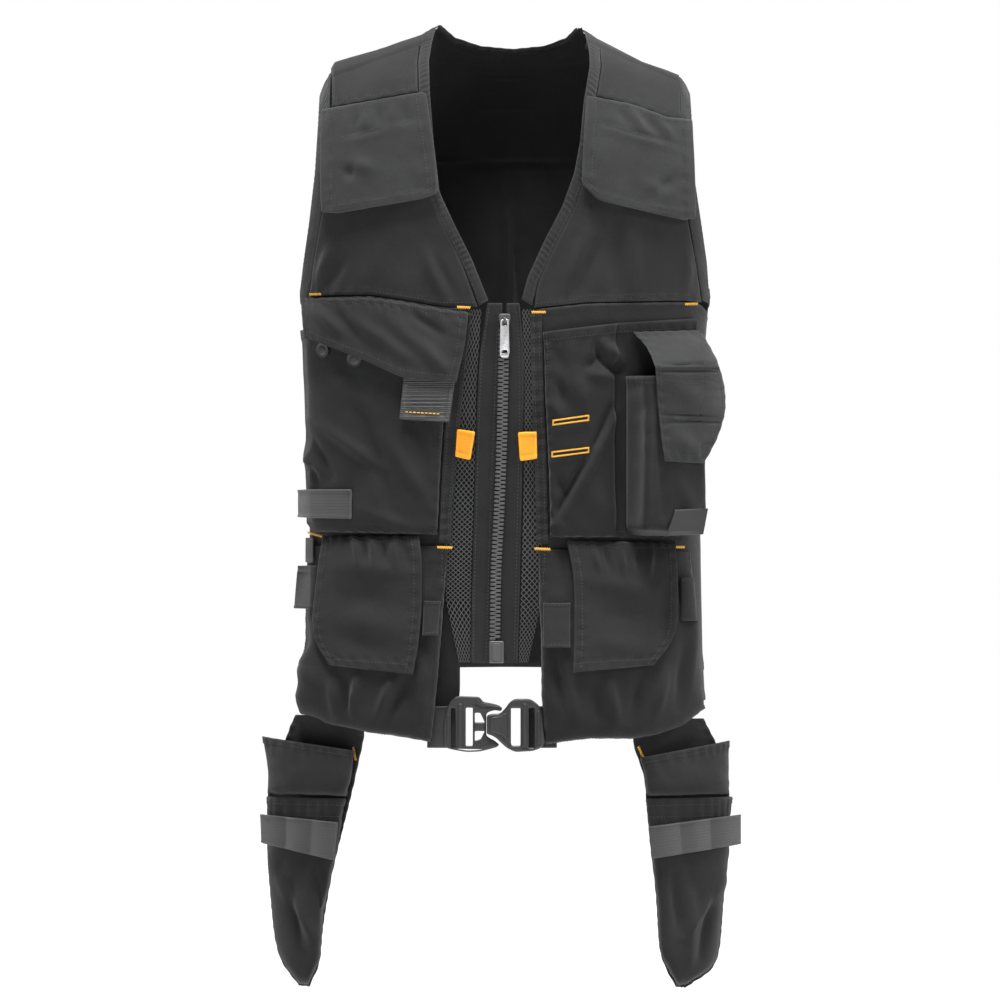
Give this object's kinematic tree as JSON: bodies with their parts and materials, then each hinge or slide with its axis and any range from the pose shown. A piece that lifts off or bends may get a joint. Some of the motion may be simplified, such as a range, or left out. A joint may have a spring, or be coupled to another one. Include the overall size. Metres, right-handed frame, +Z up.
{
  "type": "utility work vest",
  "caption": "Sleeveless work vest with a zip front, net panels, flapped chest pockets, a phone pocket, pouches, a belt buckle and hanging holsters.",
  "frame": {"origin": "between the shoulders at the level of the shoulder points, where the vest hangs on its wearer", "axes": "+Z up, -Y out of the front, +X to the right of someone who looks at the front"},
  "size_m": [0.481, 0.2613, 0.9617],
  "materials": {
    "cloth_dark": "matt woven",
    "cloth_grey": "matt coarse woven",
    "net": "coarse knitted net",
    "webbing": "ribbed webbing",
    "yellow_tape": "matt tape",
    "plastic": "satin moulded",
    "metal": "satin"
  },
  "bodies": {
    "vest": {"armhole_binding_left": "cloth_dark", "armhole_binding_right": "cloth_dark", "back_panel": "cloth_dark", "back_yoke": "cloth_dark", "bag_flap_left": "cloth_dark", "bag_flap_right": "cloth_dark", "bag_left": "cloth_dark", "bag_loop_left_inner": "cloth_dark", "bag_loop_left_outer": "cloth_dark", "bag_loop_right_inner": "cloth_dark", "bag_loop_right_outer": "cloth_dark", "bag_right": "cloth_dark", "belt_left": "webbing", "belt_right": "webbing", "buckle_plug": "plastic", "buckle_socket": "plastic", "chest_flap_left": "cloth_dark", "chest_panel_left": "cloth_dark", "chest_panel_right": "cloth_dark", "chest_pocket_left": "cloth_dark", "chest_pocket_right": "cloth_dark", "flap_plaque": "plastic", "front_edge_left": "cloth_dark", "front_edge_right": "cloth_dark", "front_panel_left": "cloth_dark", "front_panel_right": "cloth_dark", "holster_back_left": "cloth_dark", "holster_back_right": "cloth_dark", "holster_loops_left": "webbing", "holster_loops_right": "webbing", "holster_pocket_lower_left": "cloth_dark", "holster_pocket_lower_right": "cloth_dark", "holster_pocket_upper_left": "cloth_dark", "holster_pocket_upper_right": "cloth_dark", "inner_layer_left": "net", "mesh_panel_left": "net", "mesh_panel_right": "net", "neck_band_back": "cloth_dark", "neck_binding_left": "cloth_dark", "neck_binding_right": "cloth_dark", "phone_flap": "cloth_grey", "phone_pocket": "cloth_dark", "pull_tab_left": "yellow_tape", "pull_tab_right": "yellow_tape", "shoulder_flap_left": "cloth_grey", "shoulder_flap_right": "cloth_grey", "shoulder_yoke_left": "cloth_dark", "shoulder_yoke_right": "cloth_dark", "side_tag": "plastic", "snap_lower": "webbing", "snap_upper": "webbing", "strap_left": "webbing", "webbing_loop": "webbing", "zip_bottom_box": "plastic", "zip_chain": "plastic", "zip_slider": "plastic", "zip_tape_left": "cloth_dark", "zip_tape_right": "cloth_dark"},
    "zip_pull": {"zip_pull": "metal"}
  },
  "joints": [
    {"name": "zip_pull_swing", "type": "hinge", "parent": "vest", "child": "zip_pull", "pos_m": [-0.00041, -0.12117, -0.27601], "axis": [-1, 0, 0], "range_deg": [0, 150]}
  ]
}
